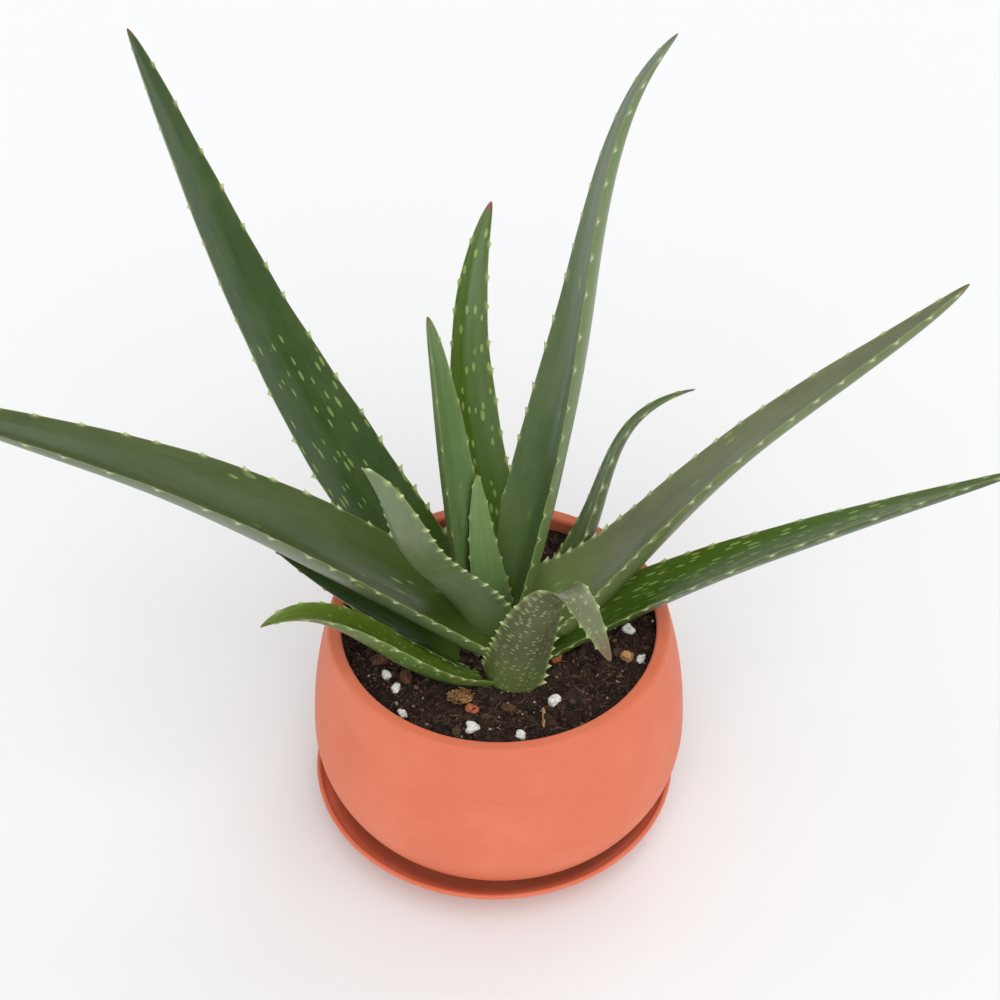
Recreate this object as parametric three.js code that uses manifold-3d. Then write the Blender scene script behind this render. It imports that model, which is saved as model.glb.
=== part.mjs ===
// A potted aloe: a round ceramic pot on a shallow saucer, potting mix, a short stem and thirteen leaves.
// Millimetres, +Z up. The origin is on the pot's axis at the underside of the saucer, and -Y is the front.
import * as THREE from "three";
import { mergeVertices } from "three/addons/utils/BufferGeometryUtils.js";
import Module from "manifold-3d";

const wasm = await Module();
wasm.setup();

// ---- Driving dimensions ----
const TURN_SEGMENTS = 48; // facets round the pot and the saucer
const STEM_SEGMENTS = 18;
const GAP = 0.3; // clearance between pieces that touch

const SAUCER = {
  offset: -2, // the pot stands a little off the saucer's centre
  foot: 59, // radius of the underside
  floor: 56, // radius where the floor meets the sloping wall
  lip: 78.5, // outer radius of the lip
  height: 19,
  thick: 5, // of the floor
  wall: 2.2,
};
const POT = {
  bottom: SAUCER.thick,
  foot: 51, // radius of the underside
  swell: 0.74, // how fully it swells from the foot to the belly: 0.5 is an ellipse, 1 a parabola
  belly: 80, // largest radius
  bellyHeight: 48,
  rim: 72.25, // outer radius of the rim
  rimHeight: 106,
  wall: 6,
  drain: 6, // radius of the hole in the floor
  round: 2, // of the rim's edges
};
const SOIL = {
  level: 96.5,
  mound: 2.5, // how much higher it lies at the plant
  moundReach: 30,
  bumps: 0.9,
  rings: 7,
};
const STEM = {
  at: [1, -2],
  bottom: 76,
  top: 103,
  foot: 10,
  belly: 15,
  crown: 8,
};
const SHEATH = 9; // how far a leaf's base runs down into the mix, or round the stem
const LEAF_STEPS = 16;
const LEAF_ACROSS = 6; // facets across a leaf's upper face

// A leaf's spine is a Bezier curve through space, from base to tip. facing is the compass direction
// that its width lies square to, in degrees from +X, and roll tips the width about the spine: both run from
// base to tip. Width is the full width in mm, foot the share of it at the base, and taper and point shape how it narrows.
// channel and thick are shares of the half width, at the base, the middle and the tip.
// The list runs from the heart of the plant outwards, and each leaf is cut back where an earlier one lies in it.
const LEAVES = [
  {
    name: "leaf_heart",
    spine: [[-2, 4, 102], [-6, 8, 126], [-9, 13, 151], [-9, 18, 175]],
    facing: [117, 111], roll: [5, 0],
    width: 20, foot: 0.95, taper: 1.0, point: 0.6,
    channel: [0.25, 0.3, 0.2], thick: [0.45, 0.4, 0.4],
  },
  {
    name: "leaf_inner_left",
    spine: [[-8, 5, 100], [-17, 10, 155], [-21, 13, 210], [-28, 15, 263]],
    facing: [150, 155], roll: [0, 8],
    width: 28, foot: 0.9, taper: 1.9, point: 0.6,
    channel: [0.25, 0.25, 0.35], thick: [0.45, 0.4, 0.4],
  },
  {
    name: "leaf_front",
    spine: [[-5, -5, 106], [-19, -5, 154], [-43, -39, 173], [-29, -51, 210], [-51, -56, 249]],
    facing: [223, 228], roll: [16, 10],
    width: 33, foot: 0.94, taper: 1.2, point: 0.5,
    channel: [0.4, 0.11, 0.6], thick: [0.41, 0.29, 0.37],
  },
  {
    name: "leaf_tall_right",
    spine: [[1, 5, 96], [29, 52, 179], [40, 77, 245], [33, 84, 299], [69, 78, 352]],
    facing: [39, -16], roll: [-12, 8],
    width: 43, foot: 0.72, taper: 1, point: 0.6,
    channel: [0.51, 0.1, 0.14], thick: [0.45, 0.3, 0.49],
  },
  {
    name: "leaf_back",
    spine: [[5, 16, 97], [-11, 43, 154], [-21, 74, 205], [-3, 107, 247]],
    facing: [120, 81], roll: [25, 3],
    width: 31, foot: 0.9, taper: 1.0, point: 0.6,
    channel: [0.25, 0.35, 0.2], thick: [0.45, 0.4, 0.4],
  },
  {
    name: "leaf_tall_left",
    spine: [[-18, 21, 87], [-65, 49, 144], [-103, 68, 207], [-122, 80, 279], [-143, 80, 353]],
    facing: [153, 150], roll: [-14, 11],
    width: 46, foot: 0.73, taper: 1.1, point: 0.6,
    channel: [0.24, 0.2, 0.25], thick: [0.44, 0.36, 0.35],
  },
  {
    name: "leaf_long_left",
    spine: [[-5, -8, 109], [-66, -3, 149], [-116, 5, 186], [-179, 3, 205], [-254, 12, 228]],
    facing: [170, 180], roll: [13, 11],
    width: 49, foot: 0.75, taper: 1.6, point: 0.73,
    channel: [0.24, 0.44, 0.29], thick: [0.56, 0.26, 0.48],
  },
  {
    name: "leaf_long_right",
    spine: [[26, 5, 108], [64, 14, 134], [80, 33, 176], [142, 39, 205], [190, 55, 246]],
    facing: [-15, -7], roll: [6, -11],
    width: 43, foot: 1.1, taper: 1, point: 0.6,
    channel: [0.42, 0.1, 0.4], thick: [0.44, 0.3, 0.7],
  },
  {
    name: "leaf_small_right",
    spine: [[25, 34, 95], [46, 45, 126], [44, 61, 149], [53, 75, 161], [85, 88, 159]],
    facing: [48, -6], roll: [-36, -19],
    width: 18, foot: 1.1, taper: 1, point: 0.6,
    channel: [0.36, 0.22, 0.2], thick: [0.6, 0.45, 0.48],
  },
  {
    name: "leaf_low_right",
    spine: [[21, -7, 102], [81, 2, 139], [148, 2, 165], [215, 5, 191]],
    facing: [7, 1], roll: [-5, -33],
    width: 30, foot: 0.95, taper: 1.5, point: 0.6,
    channel: [0.25, 0.25, 0.25], thick: [0.45, 0.4, 0.45],
  },
  {
    name: "leaf_curled",
    spine: [
      [4, -26, 95], [11, -30, 124], [18, -38, 157], [23, -43, 186],
      [30, -53, 181], [45, -54, 140],
    ],
    facing: [-71, -9, -87], roll: [-42, -15, -12],
    width: 30, foot: 0.85, taper: 1.1, point: 0.6,
    channel: [0.21, 0.37, 0.42], thick: [0.45, 0.39, 0.39],
  },
  {
    name: "leaf_low_left",
    spine: [[-11, -26, 100], [-42, -33, 114], [-66, -21, 151], [-96, -45, 150]],
    facing: [181, 199], roll: [28, 5],
    width: 24, foot: 0.65, taper: 2.3, point: 0.8,
    channel: [0.25, 0.3, 0.3], thick: [0.5, 0.5, 0.4],
  },
  {
    name: "leaf_under_left",
    spine: [[-17, -15, 99], [-42, -11, 117], [-69, -7, 133], [-94, 1, 150]],
    facing: [171, 165], roll: [14, -2],
    width: 19, foot: 0.9, taper: 1.9, point: 0.9,
    channel: [0.3, 0.3, 0.2], thick: [0.45, 0.4, 0.4],
  },
];

// Loose bits lying on the mix: where each lies, in X and Y, and its size.
const PERLITE = [
  { at: [-11, -53], size: 5.5 },
  { at: [23, -37], size: 5.5 },
  { at: [-43, -31], size: 4.2 },
  { at: [-40, -44], size: 4 },
  { at: [-47, -22], size: 4.5 },
  { at: [55, 3], size: 5 },
  { at: [60, -13], size: 4.2 },
  { at: [9, -56], size: 4.5 },
];
const BARK = [
  { at: [24, -15], size: [5, 3.5, 6], turn: 20 },
  { at: [54, -12], size: [5.5, 4, 4], turn: -25 },
  { at: [-39, -24], size: [5, 7, 3.5], turn: 8 },
  { at: [-50, -14], size: [8, 5, 3], turn: 15 },
  { at: [-11, -41], size: [4, 6, 2.5], turn: 60 },
  { at: [4, -42], size: [6, 4, 2.5], turn: -15 },
];
const STRAW = { from: [18, -40], to: [19, -52], size: 2 };
const TUFT = { at: [-16, -35], size: [13, 8, 5] };

const COLOURS = {
  terracotta: 0xc9704f,
  soil: 0x2b1e17,
  stem: 0x7d8a54,
  leaf: 0x3f6a3c,
  perlite: 0xe9e6df,
  bark: 0x7a4a2c,
};

// ---- Helpers ----
const radians = THREE.MathUtils.degToRad;

// A value that follows the numbers of a list as a Bezier curve, for any count of them.
function bezier(values, t) {
  if (values.length === 1) return values[0];
  const left = bezier(values.slice(0, -1), t);
  const right = bezier(values.slice(1), t);
  return left + (right - left) * t;
}

function solidOf(geometry) {
  const bare = geometry.clone();
  bare.deleteAttribute("normal");
  bare.deleteAttribute("uv");
  const merged = mergeVertices(bare, 1e-4);
  return new wasm.Manifold(
    new wasm.Mesh({
      numProp: 3,
      vertProperties: merged.attributes.position.array,
      triVerts: new Uint32Array(merged.index.array),
    }),
  );
}

// The largest body of a solid, so that slivers left by a cut are dropped.
function largest(solid) {
  return solid.decompose().reduce((a, b) => (b.volume() > a.volume() ? b : a));
}

function geometryOf(solid) {
  const mesh = solid.getMesh();
  const geometry = new THREE.BufferGeometry();
  geometry.setAttribute("position", new THREE.BufferAttribute(mesh.vertProperties, 3));
  geometry.setIndex(new THREE.BufferAttribute(mesh.triVerts, 1));
  geometry.computeVertexNormals();
  return geometry;
}

const group = new THREE.Group();
group.name = "potted_aloe";

function addPiece(name, solid, colour) {
  const material = new THREE.MeshStandardMaterial({ color: colour, roughness: 0.7 });
  const mesh = new THREE.Mesh(geometryOf(solid), material);
  mesh.name = name;
  group.add(mesh);
}

// A solid of revolution about Z. The profile is [radius, height] points, anticlockwise with radius to the right.
function turned(profile, segments = TURN_SEGMENTS) {
  const points = profile.map(([radius, height]) => new THREE.Vector2(radius, height));
  const lathe = new THREE.LatheGeometry(points, segments);
  return solidOf(lathe.rotateX(Math.PI / 2));
}

// Points of a circle's arc, from one angle to another, in degrees.
function arc(centre, radius, from, to, steps) {
  const points = [];
  for (let i = 0; i <= steps; i++) {
    const angle = radians(from + ((to - from) * i) / steps);
    points.push([centre[0] + radius * Math.cos(angle), centre[1] + radius * Math.sin(angle)]);
  }
  return points;
}

// ---- Pot and saucer ----

// The pot's outer radius: a swelling curve below the belly, and a parabola leaning in above it.
function potRadius(height) {
  if (height < POT.bellyHeight) {
    const down = (POT.bellyHeight - height) / (POT.bellyHeight - POT.bottom);
    return POT.foot + (POT.belly - POT.foot) * Math.max(0, 1 - down * down) ** POT.swell;
  }
  const up = (height - POT.bellyHeight) / (POT.rimHeight - POT.bellyHeight);
  return POT.belly - (POT.belly - POT.rim) * up * up;
}

// Heights that bunch up near the bottom, where the wall curves most.
function heights(low, high, count) {
  const list = [];
  for (let i = 0; i <= count; i++) {
    list.push(low + (high - low) * (i / count) ** 1.6);
  }
  return list;
}

// The pot's inner wall, from its floor to just under the rim.
const INNER_WALL = heights(POT.bottom + POT.wall, POT.rimHeight - POT.round, 9).map((z) => [
  potRadius(z) - POT.wall,
  z,
]);

function makePot() {
  const floor = POT.bottom + POT.wall;
  const shoulder = POT.rimHeight - POT.round;
  const outerEdge = potRadius(shoulder);
  const innerEdge = outerEdge - POT.wall;
  const outer = heights(POT.bottom, shoulder, 11).map((z) => [potRadius(z), z]);
  const profile = [
    [POT.drain, POT.bottom],
    ...outer,
    ...arc([outerEdge - POT.round, shoulder], POT.round, 0, 90, 3).slice(1),
    ...arc([innerEdge + POT.round, shoulder], POT.round, 90, 180, 3).slice(0, -1),
    ...INNER_WALL.toReversed(),
    [POT.drain, floor],
    [POT.drain, POT.bottom],
  ];
  return turned(profile);
}

function makeSaucer() {
  const half = SAUCER.wall / 2;
  const lipRadius = SAUCER.lip - half;
  const lipHeight = SAUCER.height - half;
  const profile = [
    [0, 0],
    [SAUCER.foot, 0],
    [SAUCER.foot + 2, 0.7],
    [SAUCER.foot + 6.6, 5.2],
    [SAUCER.lip - 7.3, 10.8],
    [SAUCER.lip - 2, 16.2],
    ...arc([lipRadius, lipHeight], half, -30, 190, 5),
    [SAUCER.lip - 5.5, 15.2],
    [SAUCER.lip - 9, 12],
    [SAUCER.lip - 12.5, 9],
    [SAUCER.floor + 6.5, 6.6],
    [SAUCER.floor + 3, 5.3],
    [SAUCER.floor, SAUCER.thick],
    [0, SAUCER.thick],
  ];
  return turned(profile).translate([SAUCER.offset, 0, 0]);
}

// ---- Plant ----

function makeStem() {
  const height = STEM.top - STEM.bottom;
  const profile = [
    [0, STEM.bottom],
    [STEM.foot, STEM.bottom],
    [STEM.belly, STEM.bottom + height * 0.55],
    [STEM.belly - 1, STEM.bottom + height * 0.8],
    [STEM.crown, STEM.top - 1.5],
    [STEM.crown - 2.5, STEM.top],
    [0, STEM.top],
  ];
  return turned(profile, STEM_SEGMENTS).translate([STEM.at[0], STEM.at[1], 0]);
}

// Half the width of a leaf at t, from 0 at the base to 1 at the tip.
function halfWidth(leaf, t) {
  const rise = Math.min(1, t / 0.3) ** 0.8;
  const foot = leaf.foot + (1 - leaf.foot) * rise;
  return (leaf.width / 2) * foot * Math.max(0, 1 - t ** leaf.taper) ** leaf.point;
}

// The centre, the sideways direction and the upward direction of a leaf's section at t.
function station(leaf, t) {
  const axes = [0, 1, 2].map((axis) => leaf.spine.map((point) => point[axis]));
  const at = new THREE.Vector3(...axes.map((values) => bezier(values, t)));
  const low = Math.max(0, t - 0.01);
  const high = Math.min(1, t + 0.01);
  const from = new THREE.Vector3(...axes.map((values) => bezier(values, low)));
  const to = new THREE.Vector3(...axes.map((values) => bezier(values, high)));
  const along = to.sub(from).normalize();
  const facing = radians(bezier(leaf.facing, t));
  const side = new THREE.Vector3(-Math.sin(facing), Math.cos(facing), 0);
  side.addScaledVector(along, -side.dot(along)).normalize();
  side.applyAxisAngle(along, radians(bezier(leaf.roll, t)));
  const up = new THREE.Vector3().crossVectors(along, side);
  return { at, along, side, up };
}

// A ring of points round a leaf's section: the channelled upper face, then the rounded back.
function leafRing(leaf, t, grow) {
  const { at, side, up } = station(leaf, t);
  const half = halfWidth(leaf, t);
  const channel = bezier(leaf.channel, t) * half;
  const thick = bezier(leaf.thick, t) * half;
  const ring = [];
  const place = (across, lift) => {
    ring.push(at.clone().addScaledVector(side, across).addScaledVector(up, lift));
  };
  for (let i = 0; i <= LEAF_ACROSS; i++) {
    const a = 1 - (2 * i) / LEAF_ACROSS;
    place(a * (half + grow), channel * Math.abs(a) ** 1.7 + grow);
  }
  for (let i = 1; i < LEAF_ACROSS; i++) {
    const a = (2 * i) / LEAF_ACROSS - 1;
    const back = channel * Math.abs(a) ** 1.7 - thick * (1 - a * a) ** 0.75;
    place(a * (half + grow), back - grow);
  }
  return ring;
}

// A leaf as rings joined by triangles, with a flat end in the mix and a point at the tip.
function makeLeaf(leaf, grow = 0) {
  const rings = [];
  const first = leafRing(leaf, 0, grow);
  const { at, along } = station(leaf, 0);
  const down = along.clone().multiplyScalar(-SHEATH);
  rings.push(first.map((point) => point.clone().sub(at).multiplyScalar(0.8).add(at).add(down)));
  for (let i = 0; i < LEAF_STEPS; i++) {
    rings.push(leafRing(leaf, i / LEAF_STEPS, grow));
  }
  rings.push(leafRing(leaf, 0.985, grow));
  const count = first.length;
  const points = rings.flat();
  const tip = station(leaf, 1);
  const lastRing = rings.length - 1;
  points.push(rings[0][Math.floor(LEAF_ACROSS / 2)].clone().lerp(rings[0][LEAF_ACROSS + 3], 0.5));
  points.push(tip.at.clone().addScaledVector(tip.along, grow));
  const triangles = [];
  for (let ring = 0; ring < lastRing; ring++) {
    for (let i = 0; i < count; i++) {
      const next = (i + 1) % count;
      const a = ring * count + i;
      const b = ring * count + next;
      triangles.push(a, b, a + count, b, b + count, a + count);
    }
  }
  for (let i = 0; i < count; i++) {
    const next = (i + 1) % count;
    triangles.push(next, i, points.length - 2);
    triangles.push(lastRing * count + i, lastRing * count + next, points.length - 1);
  }
  const positions = new Float32Array(points.flatMap((point) => point.toArray()));
  return new wasm.Manifold(
    new wasm.Mesh({ numProp: 3, vertProperties: positions, triVerts: new Uint32Array(triangles) }),
  );
}

// ---- Potting mix and what lies on it ----

// The height of the mix at a place: a low mound round the plant, and gentle unevenness.
function soilHeight(x, y) {
  const reach = Math.hypot(x, y) / SOIL.moundReach;
  const mound = SOIL.mound * Math.exp(-reach * reach);
  const bumps = Math.sin(x / 7 + 1) * Math.cos(y / 6) + 0.6 * Math.sin(x / 4 - y / 5);
  return SOIL.level + mound + SOIL.bumps * bumps;
}

function makeSoil() {
  const floor = POT.bottom + POT.wall;
  const wall = INNER_WALL.filter(([, z]) => z < SOIL.level - 2).map(([radius, z]) => [radius - GAP, z]);
  const edge = potRadius(SOIL.level) - POT.wall - 2 * GAP;
  wall.push([edge, SOIL.level]);
  const top = [];
  for (let ring = 1; ring <= SOIL.rings; ring++) {
    top.push([edge * (1 - ring / SOIL.rings), SOIL.level]);
  }
  const body = turned([[0, floor], ...wall, ...top]);
  return body.warp((vertex) => {
    if (vertex[2] > SOIL.level - 0.01) {
      vertex[2] = soilHeight(vertex[0], vertex[1]);
    }
  });
}

// A lump of perlite: a ball squashed and dented, sunk a little into the mix.
function makePerlite(bit, index, grow) {
  const radius = bit.size / 2 + grow;
  const z = soilHeight(...bit.at) + bit.size * 0.25;
  const ball = new THREE.IcosahedronGeometry(1, 1);
  ball.scale(radius, radius * 0.85, radius * 0.8);
  ball.rotateZ(index);
  ball.translate(bit.at[0], bit.at[1], z);
  return solidOf(ball);
}

// A chip of bark: a block with its corners knocked off, lying on the mix.
function makeChip(bit, grow) {
  const size = bit.size.map((side) => side + 2 * grow);
  const z = soilHeight(...bit.at) + bit.size[2] * 0.2;
  const block = new THREE.CylinderGeometry(0.36, 0.5, 1, 6);
  block.rotateX(Math.PI / 2);
  block.scale(...size);
  block.rotateZ(radians(bit.turn));
  block.translate(bit.at[0], bit.at[1], z);
  return solidOf(block);
}

function makeStraw(grow) {
  const radius = STRAW.size / 2 + grow;
  const from = new THREE.Vector3(...STRAW.from, soilHeight(...STRAW.from) + 0.3);
  const to = new THREE.Vector3(...STRAW.to, soilHeight(...STRAW.to) + 0.6);
  const length = from.distanceTo(to) + 2 * grow;
  const rod = new THREE.CylinderGeometry(radius * 0.7, radius, length, 8);
  const turn = new THREE.Quaternion();
  turn.setFromUnitVectors(new THREE.Vector3(0, 1, 0), to.clone().sub(from).normalize());
  rod.applyQuaternion(turn);
  const middle = from.add(to).multiplyScalar(0.5);
  rod.translate(middle.x, middle.y, middle.z);
  return solidOf(rod);
}

function makeTuft(grow) {
  const [length, width, height] = TUFT.size.map((side) => side / 2 + grow);
  const lump = new THREE.IcosahedronGeometry(1, 1);
  lump.scale(length, width, height);
  lump.rotateZ(0.3);
  lump.translate(TUFT.at[0], TUFT.at[1], soilHeight(...TUFT.at) + 1);
  return solidOf(lump);
}

// ---- Assembly ----
addPiece("saucer", makeSaucer(), COLOURS.terracotta);
addPiece("pot", makePot(), COLOURS.terracotta);

const stem = makeStem();
addPiece("stem", stem, COLOURS.stem);
const stemRoom = wasm.Manifold.union(
  [0, 60, 120, 180, 240, 300].map((angle) =>
    stem.translate([GAP * Math.cos(radians(angle)), GAP * Math.sin(radians(angle)), GAP]),
  ),
);

// Each leaf gives way to the stem and to the leaves nearer the heart.
let taken = stemRoom;
for (const leaf of LEAVES) {
  const whole = makeLeaf(leaf);
  addPiece(leaf.name, largest(whole.subtract(taken)), COLOURS.leaf);
  taken = taken.add(makeLeaf(leaf, GAP));
}

// The loose bits lie in the mix, clear of the leaves, and the mix gives way to all of them.
let lying = taken.add(stem.translate([0, 0, -GAP]));
const addBit = (name, whole, room, colour) => {
  addPiece(name, largest(whole.subtract(lying)), colour);
  lying = lying.add(room);
};
PERLITE.forEach((bit, index) => {
  const name = "perlite_" + (index + 1);
  addBit(name, makePerlite(bit, index, 0), makePerlite(bit, index, GAP), COLOURS.perlite);
});
BARK.forEach((bit, index) => {
  addBit("bark_chip_" + (index + 1), makeChip(bit, 0), makeChip(bit, GAP), COLOURS.bark);
});
addBit("straw", makeStraw(0), makeStraw(GAP), COLOURS.bark);
addBit("fibre_tuft", makeTuft(0), makeTuft(GAP), COLOURS.bark);
addPiece("soil", largest(makeSoil().subtract(lying)), COLOURS.soil);

export default group;
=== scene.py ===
import math
import bpy
import numpy as np
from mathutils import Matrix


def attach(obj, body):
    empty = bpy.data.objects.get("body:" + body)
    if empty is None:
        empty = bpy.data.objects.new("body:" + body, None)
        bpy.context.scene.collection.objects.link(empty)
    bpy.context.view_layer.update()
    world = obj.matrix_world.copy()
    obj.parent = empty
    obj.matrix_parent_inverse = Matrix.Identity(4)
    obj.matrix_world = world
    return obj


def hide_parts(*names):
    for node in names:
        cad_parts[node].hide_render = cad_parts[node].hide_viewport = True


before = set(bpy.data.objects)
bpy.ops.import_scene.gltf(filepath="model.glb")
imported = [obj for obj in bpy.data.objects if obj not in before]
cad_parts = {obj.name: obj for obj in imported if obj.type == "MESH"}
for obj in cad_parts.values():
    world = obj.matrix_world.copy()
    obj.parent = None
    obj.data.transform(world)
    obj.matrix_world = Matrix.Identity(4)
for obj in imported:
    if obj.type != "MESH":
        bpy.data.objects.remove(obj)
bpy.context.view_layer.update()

MM = 0.001
camera_data = bpy.data.cameras.new("camera")
camera_data.lens = 108
camera_data.sensor_width = 36
CAMERA_PLACE = (0.5, -872.6, 1027.3)
LOOKING_DOWN = 44.23
camera = bpy.data.objects.new("camera", camera_data)
camera.location = [place * MM for place in CAMERA_PLACE]
camera.rotation_euler = (math.radians(90 - LOOKING_DOWN), 0, 0)
bpy.context.scene.collection.objects.link(camera)
bpy.context.scene.camera = camera


# ---- Saucer ----
# A shallow dish of fired clay with a sloping wall and a thin rounded lip, the same colour as the pot.
# It is turned on a wheel, so its mesh is one profile carried round the axis.
TURNS = 240
SAUCER_OFFSET = -2 * MM


def grid_faces(rows, columns, close_rows=False):
    """Quads between neighbouring rows of a grid whose columns close on themselves."""
    row = np.arange(rows if close_rows else rows - 1)[:, None]
    column = np.arange(columns)[None, :]
    following = (row + 1) % rows
    beside = (column + 1) % columns
    low_corners = (row * columns + column, row * columns + beside)
    high_corners = (following * columns + beside, following * columns + column)
    return np.stack(low_corners + high_corners, axis=-1).reshape(-1, 4)


def build_piece(name, points, faces, material, replaced=(), smooth=True):
    """A mesh object from arrays of points and faces, riding on the root body and standing for CAD nodes."""
    mesh = bpy.data.meshes.new(name)
    loops = [face.tolist() if hasattr(face, "tolist") else face for face in faces]
    mesh.from_pydata(points.tolist(), [], loops)
    mesh.polygons.foreach_set("use_smooth", np.full(len(mesh.polygons), smooth))
    mesh.materials.append(material)
    mesh.update()
    piece = bpy.data.objects.new(name, mesh)
    bpy.context.scene.collection.objects.link(piece)
    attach(piece, "root")
    if replaced:
        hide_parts(*replaced)
    return piece


def turned(profile, closed=False, x=0.0, y=0.0, segments=TURNS):
    """A surface of revolution: each profile point (radius, height) goes once round the axis at x, y.

    An open profile runs from the axis to the axis, and its two ends become single points.
    """
    radius, height = np.asarray(profile, dtype=float).T
    if not closed:
        radius, height = radius[1:-1], height[1:-1]
    angle = np.linspace(0, 2 * np.pi, segments, endpoint=False)
    ring = np.stack(np.broadcast_arrays(
        x + radius[:, None] * np.cos(angle),
        y + radius[:, None] * np.sin(angle),
        height[:, None]), axis=-1)
    points = ring.reshape(-1, 3)
    faces = list(grid_faces(len(radius), segments, closed))
    if not closed:
        start, end = profile[0], profile[-1]
        points = np.vstack([points, [[x, y, start[1]], [x, y, end[1]]]])
        around = np.arange(segments)
        beside = (around + 1) % segments
        last = (len(radius) - 1) * segments
        low, high = len(points) - 2, len(points) - 1
        faces += list(np.stack([np.full(segments, low), beside, around], axis=-1))
        faces += list(np.stack([np.full(segments, high), last + around, last + beside], axis=-1))
    return points, faces


def arc(centre, radius, start, end, steps):
    """Points of a circle's arc between two angles in degrees."""
    angle = np.radians(np.linspace(start, end, steps))
    return np.stack([centre[0] + radius * np.cos(angle), centre[1] + radius * np.sin(angle)], axis=-1)


def smooth_line(points, count):
    """A smooth curve through points: cubic pieces whose slopes are those between the neighbours."""
    points = np.asarray(points, dtype=float)
    span = np.append(0, np.cumsum(np.linalg.norm(np.diff(points, axis=0), axis=1)))
    slope = np.gradient(points, span, axis=0)
    along = np.linspace(0, span[-1], count)
    k = np.clip(np.searchsorted(span, along, side="right") - 1, 0, len(span) - 2)
    h = (span[k + 1] - span[k])[:, None]
    t = ((along - span[k]) / h[:, 0])[:, None]
    return ((1 + 2 * t) * (1 - t) ** 2 * points[k] + t * (1 - t) ** 2 * h * slope[k]
            + t * t * (3 - 2 * t) * points[k + 1] + t * t * (t - 1) * h * slope[k + 1])


class Value:
    """A node socket that can be used in sums: the operators add Math nodes to the tree."""

    def __init__(self, tree, socket):
        self.tree = tree
        self.socket = socket

    def maths(self, operation, first, second):
        node = self.tree.nodes.new("ShaderNodeMath")
        node.operation = operation
        for slot, item in zip(node.inputs, (first, second)):
            if isinstance(item, Value):
                self.tree.links.new(item.socket, slot)
            else:
                slot.default_value = item
        return Value(self.tree, node.outputs[0])

    def __add__(self, other):
        return self.maths("ADD", self, other)

    def __radd__(self, other):
        return self.maths("ADD", other, self)

    def __sub__(self, other):
        return self.maths("SUBTRACT", self, other)

    def __rsub__(self, other):
        return self.maths("SUBTRACT", other, self)

    def __mul__(self, other):
        return self.maths("MULTIPLY", self, other)

    def __rmul__(self, other):
        return self.maths("MULTIPLY", other, self)

    def __truediv__(self, other):
        return self.maths("DIVIDE", self, other)

    def __pow__(self, other):
        return self.maths("POWER", self, other)


class Finish:
    """A material with one Principled shader; keyword values are constants set on the shader's own sockets."""

    def __init__(self, name, **constants):
        self.material = bpy.data.materials.new(name)
        self.material.use_nodes = True
        self.tree = self.material.node_tree
        self.tree.nodes.clear()
        output = self.tree.nodes.new("ShaderNodeOutputMaterial")
        self.shader = self.tree.nodes.new("ShaderNodeBsdfPrincipled")
        self.tree.links.new(self.shader.outputs[0], output.inputs["Surface"])
        for key, value in constants.items():
            self.shader.inputs[key.replace("_", " ")].default_value = value

    def node(self, kind, settings=None, inputs=None, output=0):
        """Any node: its settings are set first, then its sockets get values or links."""
        made = self.tree.nodes.new(kind)
        for key, value in (settings or {}).items():
            setattr(made, key, value)
        for key, value in (inputs or {}).items():
            if isinstance(value, Value):
                self.tree.links.new(value.socket, made.inputs[key])
            else:
                made.inputs[key].default_value = value
        return Value(self.tree, made.outputs[output])

    def place(self):
        """Object coordinates."""
        return self.node("ShaderNodeTexCoord", output="Object")

    def stored(self, name, output="Fac"):
        """One of the mesh's own attributes."""
        return self.node("ShaderNodeAttribute", {"attribute_name": name}, output=output)

    def noise(self, place, scale, detail=3.0, roughness=0.5, output=0):
        inputs = {"Vector": place, "Scale": scale, "Detail": detail, "Roughness": roughness}
        return self.node("ShaderNodeTexNoise", None, inputs, output)

    def step(self, value, low, high, start=0.0, end=1.0):
        """Runs smoothly from start to end as the value goes from low to high."""
        inputs = {"Value": value, "From Min": low, "From Max": high, "To Min": start, "To Max": end}
        return self.node("ShaderNodeMapRange", {"interpolation_type": "SMOOTHSTEP"}, inputs)

    def mix(self, share, first, second, blend="MIX"):
        """Two colours, mixed by a share."""
        settings = {"data_type": "RGBA", "blend_type": blend}
        return self.node("ShaderNodeMix", settings, {0: share, 6: first, 7: second}, 2)

    def stretch(self, vector, scale):
        """A vector with each axis scaled, so that a pattern is stretched along one of them."""
        return self.node("ShaderNodeVectorMath", {"operation": "MULTIPLY"}, {0: vector, 1: scale})

    def feed(self, key, value):
        self.tree.links.new(value.socket, self.shader.inputs[key])

    def bump(self, height, strength, distance):
        inputs = {"Height": height, "Strength": strength, "Distance": distance}
        self.feed("Normal", self.node("ShaderNodeBump", None, inputs))


def srgb(red, green, blue):
    """A colour given as it looks, 0 to 255, as the linear values that the shader takes."""
    share = np.array([red, green, blue]) / 255
    linear = np.where(share <= 0.04045, share / 12.92, ((share + 0.055) / 1.055) ** 2.4)
    return (*linear.tolist(), 1.0)


def clay_finish(name, body, pale, deep):
    """Matte coloured clay: faint cloudy patches, fine grit that shows in the colour and as a bump."""
    clay = Finish(name, Specular_IOR_Level=0.35, Diffuse_Roughness=0.5)
    place = clay.place()
    cloud = clay.noise(place, 26, 4, 0.6)
    wipe = clay.noise(clay.stretch(place, (18, 18, 160)), 1, 3)
    grit = clay.noise(place, 1500, 2)
    colour = clay.mix(clay.step(cloud, 0.42, 0.72), body, pale)
    colour = clay.mix(clay.step(wipe, 0.5, 0.8) * 0.14, colour, deep)
    colour = clay.mix(clay.step(grit, 0.6, 0.76) * 0.3, colour, deep)
    clay.feed("Base Color", colour)
    clay.feed("Roughness", 0.58 + (cloud - 0.5) * 0.25 + (grit - 0.5) * 0.1)
    clay.bump(grit * 0.6 + wipe * 0.4, 0.18, 0.0003)
    return clay.material


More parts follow.
